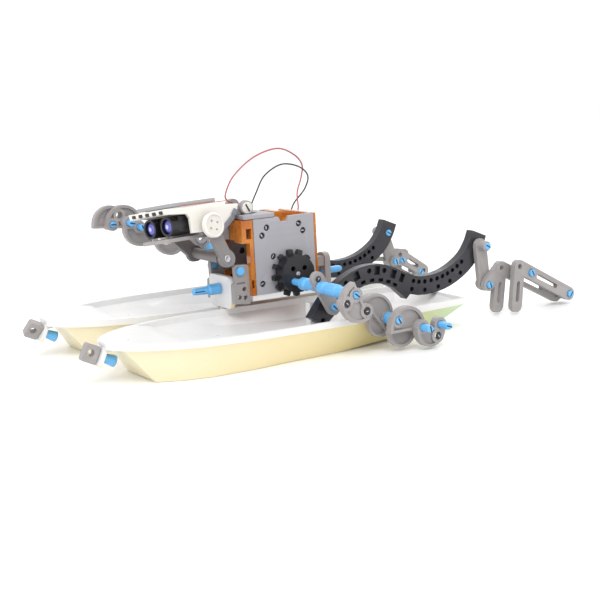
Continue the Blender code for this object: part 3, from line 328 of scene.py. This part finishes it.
def turned_piece(name, profile, at, axis, slot, rider, sides=24, frame_of=None):
    """A turned piece from (radius, height) pairs in millimetres, along an axis through a point."""
    bm = bmesh.new()
    rings = []
    for r, h in profile:
        if r <= 0:
            rings.append([bm.verts.new((0, 0, h * MM))])
        else:
            angles = [2 * pi * k / sides for k in range(sides)]
            rings.append([bm.verts.new((r * MM * cos(a), r * MM * sin(a), h * MM)) for a in angles])
    for a, b in zip(rings, rings[1:]):
        for k in range(sides):
            j = (k + 1) % sides
            if len(a) == 1:
                bm.faces.new((a[0], b[j], b[k]))
            elif len(b) == 1:
                bm.faces.new((a[k], a[j], b[0]))
            else:
                bm.faces.new((a[k], a[j], b[j], b[k]))
    bmesh.ops.recalc_face_normals(bm, faces=bm.faces)
    turn = Vector(axis).to_track_quat("Z", "Y").to_matrix().to_4x4()
    return finish_piece(name, bm, turn, at, slot, rider, frame_of)


def box_piece(name, size, at, slot, rider, rotation=(0, 0, 0), frame_of=None, round_by=0.2):
    """A small softened box, in millimetres, about a point."""
    bm = bmesh.new()
    bmesh.ops.create_cube(bm, size=1.0)
    bmesh.ops.scale(bm, vec=[v * MM for v in size], verts=bm.verts)
    if round_by:
        bmesh.ops.bevel(bm, geom=bm.edges, offset=round_by * MM, segments=2, affect="EDGES", profile=0.6)
    return finish_piece(name, bm, Euler(rotation).to_matrix().to_4x4(), at, slot, rider, frame_of)


def finish_piece(name, bm, turn, at, slot, rider, frame_of=None):
    """Move a new mesh into place, give it its material and let it ride a body."""
    move = Matrix.Translation(at) @ turn
    if frame_of is not None:
        move = frame_of @ move
    bm.transform(move)
    mesh = bpy.data.meshes.new(name)
    bm.to_mesh(mesh)
    bm.free()
    mesh.polygons.foreach_set("use_smooth", [True] * len(mesh.polygons))
    obj = bpy.data.objects.new(name, mesh)
    bpy.context.scene.collection.objects.link(obj)
    split = obj.modifiers.new("normals", "WEIGHTED_NORMAL")
    split.keep_sharp = True
    mesh.materials.append(MATERIALS[slot])
    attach(obj, rider)
    return obj


# the head's frame: its pivot between the ears, flexed on the neck
HEAD_SET = Euler((0, -radians(8.5), radians(12.0)))
HEAD_FRAME = Matrix.Translation(kit_point(0, -52.7, 70.8)) @ HEAD_SET.to_matrix().to_4x4()


def head_point(x, y, z):
    """A point of the head, in millimetres from its pivot, still in the head's own frame."""
    return Vector((x, y, z)) * MM


# ---- pin ends and screws -----------------------------------------------------------------------
PIN_END_RADIUS = 2.1
FOOT_CAP = 1.6
LINK_CAP = 1.4


def slotted_end(name, x, y, z, rider, turn, cap=0.0):
    """The driven end of a snap pin: a dark cut across its face, with a blue cap where the rod is grey."""
    r = PIN_END_RADIUS
    if cap:
        profile = ((0, -cap), (r + 0.06, -cap), (r + 0.06, 0.35), (r - 0.3, 0.7), (0, 0.7))
        turned_piece(name + "_cap", profile, kit_point(x, y, z), (1, 0, 0), "pin_blue", rider)
        x += 0.7
    box_piece(name + "_cut", (0.3, 0.75, 2 * r - 0.5), kit_point(x, y, z), "crank_black", rider,
              rotation=(turn, 0, 0), round_by=0.0)


CRANK_Y, CRANK_Z = 3.0, 40.0

# pin ends of the arms: outward x, then y and z from the crank axis, and the angle of the cut
ARM_ENDS = {
    "left": ((93.6, -3.2, -4.4, 0.9), (99.1, 21.0, -21.5, 0.5), (109.8, 34.4, -26.8, 0.2),
             (110.8, 46.8, -27.0, 1.2)),
    "right": ((82.3, 47.0, -24.0, 0.4), (82.7, 54.0, -27.5, 1.3), (93.6, -3.2, -4.4, 0.9),
              (91.5, 63.5, -27.0, 1.5)),
}
# pin ends of the feet: x, y, z and the angle of the cut
FOOT_ENDS = {
    "left": ((66.4, 155.0, 24.8, 0.5), (66.4, 188.5, 6.6, -0.6), (58.4, 126.5, 20.0, 0.3),
             (59.6, 124.0, 45.0, 1.0)),
    "right": ((-53.6, 143.0, 22.5, 0.5), (-53.6, 159.0, 12.0, -0.6), (-46.6, 132.0, 23.5, 0.3),
              (-43.7, 124.0, 45.0, 1.0)),
}
for side, sign in SIDES:
    for k, (x, y, z, cut) in enumerate(ARM_ENDS[side]):
        slotted_end("%s_arm_end_%d" % (side, k), sign * x, CRANK_Y + sign * y, CRANK_Z + sign * z,
                    "drive", cut)
for side, sign in SIDES:
    for k, (x, y, z, cut) in enumerate(FOOT_ENDS[side]):
        slotted_end("%s_foot_end_%d" % (side, k), x, y, z, side + "_foot", cut, cap=FOOT_CAP)

# screws of the gearbox side plates (y, z), a dark head with a bright cut
PLATE_SCREWS = ((-12.0, 68.5), (-15.4, 64.1), (10.4, 68.7), (13.2, 64.2), (-16.6, 35.4), (-8.3, 50.9))
SCREW_HEAD = ((0, 0), (1.9, 0), (1.9, 0.8), (1.3, 1.2), (0, 1.25))
for k, (y, z) in enumerate(PLATE_SCREWS):
    for side, sign in SIDES:
        turned_piece("%s_screw_%d" % (side, k), SCREW_HEAD, kit_point(sign * 18.0, y, z), (sign, 0, 0),
                     "crank_black", "kit", 16)
        box_piece("%s_screw_cut_%d" % (side, k), (0.3, 0.6, 2.0), kit_point(sign * 19.2, y, z),
                  "steel", "kit", rotation=(0.5 * k, 0, 0), round_by=0.0)

# dark screws in the left arm's plates (x, y, z, radius), and the blue end of the pin in its link
ARM_SCREWS = ((92.3, -9.6, -8.4, 1.9), (92.3, 3.7, -14.3, 1.9), (56.4, -4.4, 0.6, 1.8),
              (102.7, 44.8, -33.2, 1.7))
for k, (x, y, z, r) in enumerate(ARM_SCREWS):
    at = kit_point(x, CRANK_Y + y, CRANK_Z + z)
    turned_piece("left_arm_screw_%d" % k, ((0, 0), (r, 0), (r, 0.5), (r - 0.5, 0.8), (0, 0.8)), at, (1, 0, 0),
                 "crank_black", "drive", 16)
    box_piece("left_arm_screw_cut_%d" % k, (0.2, 0.5, 1.8), at + Vector((0.8 * MM, 0, 0)), "steel", "drive",
              rotation=(0.7 + k, 0, 0), round_by=0.0)
slotted_end("left_link_end", 57.6, CRANK_Y + 5.5, CRANK_Z - 17.2, "drive", 0.8, cap=LINK_CAP)

# ---- front trim ----------------------------------------------------------------------------------
# blue sleeves on the cone pins behind the bow eyes, and the split in the front pin
BOW_SLEEVE = ((0, 3.3), (2.45, 3.3), (3.2, 9.8), (3.2, 10.6), (0, 10.6))
BOW_PIN_ALONG = (0, 0.8988, -0.4384)
for side, sign in SIDES:
    turned_piece(side + "_bow_sleeve", BOW_SLEEVE, kit_point(sign * 42.5, -133.8, 15.5), BOW_PIN_ALONG,
                 "pin_blue", side + "_bow_eye")
box_piece("front_pin_split", (4.5, 8.0, 0.5), kit_point(0, -48.6, 33.0), "crank_black", "kit", round_by=0.0)

# knob faces of the hinge, the ring screws at the neck's lower ends, a black disc as painted shadow behind the
# left neck arm, and the glint in each lens
KNOB_FACE = ((0, 0), (3.5, 0), (3.5, 0.3), (3.1, 0.5), (0, 0.5))
RING_SCREW = ((0, 0), (2.2, 0), (2.2, 0.6), (1.5, 0.6), (1.3, 0.3), (0, 0.3))
NECK_SHADOW_DISC = ((0, 0), (6.0, 0), (6.0, 1.2), (0, 1.2))
LENS_GLINT = ((0, 0.9), (1.6, 1.0), (1.1, 1.75), (0, 1.95))
NECK_FOOT = {"left": (8.1, -20.5), "right": (15.8, -15.3)}
head_turn = HEAD_FRAME.to_3x3()
for side, sign in SIDES:
    turned_piece(side + "_knob_face", KNOB_FACE, kit_point(sign * 10.1, -18.8, 80.4), (sign, 0, 0),
                 "head_cream", "kit")
    box_piece(side + "_knob_cut", (0.4, 0.9, 5.0), kit_point(sign * 10.7, -18.8, 80.4), "crank_black", "kit",
              rotation=(0.5, 0, 0), round_by=0.0)
    outward = head_turn @ Vector((sign, 0, 0))
    y, z = NECK_FOOT[side]
    turned_piece(side + "_neck_screw", RING_SCREW, HEAD_FRAME @ head_point(sign * 20.2, y, z), outward,
                 "steel", "kit", 20)
    if side == "left":
        # painted shadow: a black disc behind the left neck arm's lower end, giving it a dark outline of shade
        turned_piece(side + "_neck_painted_shadow", NECK_SHADOW_DISC, HEAD_FRAME @ head_point(sign * 16.9, y + 0.2, z - 0.3),
                     outward, "crank_black", "kit")
    turned_piece(side + "_lens_glint", LENS_GLINT, HEAD_FRAME @ head_point(sign * 8.0, -20.8, 3.0),
                 head_turn @ Vector((0, -1, 0)), "glint", "head", 16)

# ---- head trim -----------------------------------------------------------------------------------
# the panel's cell under its clear face, and the orange film along its underside
box_piece("panel_cell", (27.4, 30.4, 0.3), head_point(0, -7.0, 15.4), "cell", "head", frame_of=HEAD_FRAME,
          round_by=0.05)
box_piece("panel_film", (33.0, 36.0, 0.45), head_point(0, 0.5, 13.25), "shell_orange", "head",
          frame_of=HEAD_FRAME, rotation=(radians(-0.9), 0, 0), round_by=0.1)
EAR_DOT = ((0, 0), (0.62, 0), (0.62, 0.16), (0, 0.16))
EAR_DOT_CIRCLE = 3.0
for side, sign in SIDES:
    for k in range(4):
        a = pi / 2 * k + 0.5
        at = head_point(sign * 22.94, EAR_DOT_CIRCLE * cos(a), EAR_DOT_CIRCLE * sin(a))
        turned_piece("%s_ear_dot_%d" % (side, k), EAR_DOT, at, (1, 0, 0), "kit_grey", "head", 12,
                     frame_of=HEAD_FRAME)

# dark slots in the visor lip, and the straps that run along the rear edge of each cheek
for k in range(5):
    box_piece("visor_slot_%d" % k, (3.3, 2.6, 1.5), head_point((k - 2) * 6.4, -27.6, 11.3),
              "crank_black", "head", frame_of=HEAD_FRAME, round_by=0.1)
STRAPS = ((22.0, 6.8, 19.6, 4.2), (19.4, 3.2, 8.0, -4.6))    # y and z of each strap's two ends
for side, sign in SIDES:
    for k, (y0, z0, y1, z1) in enumerate(STRAPS):
        length = ((y1 - y0) ** 2 + (z1 - z0) ** 2) ** 0.5
        box_piece("%s_strap_%d" % (side, k), (1.2, length + 0.8, 3.0),
                  head_point(sign * 18.1, (y0 + y1) / 2, (z0 + z1) / 2), "strap_grey", "head",
                  rotation=(atan2(z1 - z0, y1 - y0), 0, 0), frame_of=HEAD_FRAME, round_by=0.5)

# ---- floor, light and camera ----------------------------------------------------------------------
bpy.ops.mesh.primitive_plane_add(size=6.0, location=(0, 0, -0.0002))
floor = bpy.context.object
floor.name = "floor"
floor_mat, floor_tree, floor_shader = new_material("pale floor")
pale = ((0.3, (0.94, 0.94, 0.94)), (0.7, (0.97, 0.97, 0.97)))
speck = ramp(floor_tree, noise(floor_tree, 18.0, 3.0), pale)
floor_tree.links.new(speck, floor_shader.inputs["Base Color"])
floor_shader.inputs["Roughness"].default_value = 0.5
floor.data.materials.append(floor_mat)

world = bpy.data.worlds.new("studio")
bpy.context.scene.world = world
world.use_nodes = True
world.node_tree.nodes["Background"].inputs["Color"].default_value = (1.0, 1.0, 1.0, 1.0)
world.node_tree.nodes["Background"].inputs["Strength"].default_value = 1.06
bpy.context.scene.view_settings.view_transform = "Standard"


def area(name, at, size, power, aim=(0, 0, 0.03)):
    """A soft square light aimed at the model."""
    data = bpy.data.lights.new(name, "AREA")
    data.size = size
    data.energy = power
    obj = bpy.data.objects.new(name, data)
    bpy.context.scene.collection.objects.link(obj)
    obj.location = at
    obj.rotation_mode = "QUATERNION"
    obj.rotation_quaternion = (Vector(at) - Vector(aim)).to_track_quat("Z", "Y")
    return obj


area("key", (0.6, -0.35, 0.95), 0.7, 5.5)
area("fill", (0.2, -1.1, 0.4), 0.8, 1.2)
area("rim", (-0.6, 0.7, 0.8), 0.6, 2.5)

AZIMUTH, ELEVATION, ROLL = radians(57.94), radians(10.58), radians(2.92)
DISTANCE = 0.7492
SENSOR_WIDTH = 36
LENS_RATIO = 1197.8 / 600    # focal length over sensor width
TARGET = Vector((0, 0.02107, 0.01777)) + Vector((0, Y_SHIFT * MM, 0))
back = Vector((sin(AZIMUTH) * cos(ELEVATION), -cos(AZIMUTH) * cos(ELEVATION), sin(ELEVATION)))
right = Vector((cos(AZIMUTH), sin(AZIMUTH), 0))
up = back.cross(right)
turn = Matrix((right, up, back)).transposed() @ Matrix.Rotation(-ROLL, 3, "Z")
camera_data = bpy.data.cameras.new("camera")
camera_data.sensor_width = SENSOR_WIDTH
camera_data.lens = LENS_RATIO * SENSOR_WIDTH
camera = bpy.data.objects.new("camera", camera_data)
bpy.context.scene.collection.objects.link(camera)
camera.rotation_mode = "QUATERNION"
camera.rotation_quaternion = turn.to_quaternion()
camera.location = TARGET + back * DISTANCE
camera_data.clip_start = 0.01
camera_data.clip_end = 20
bpy.context.scene.camera = camera
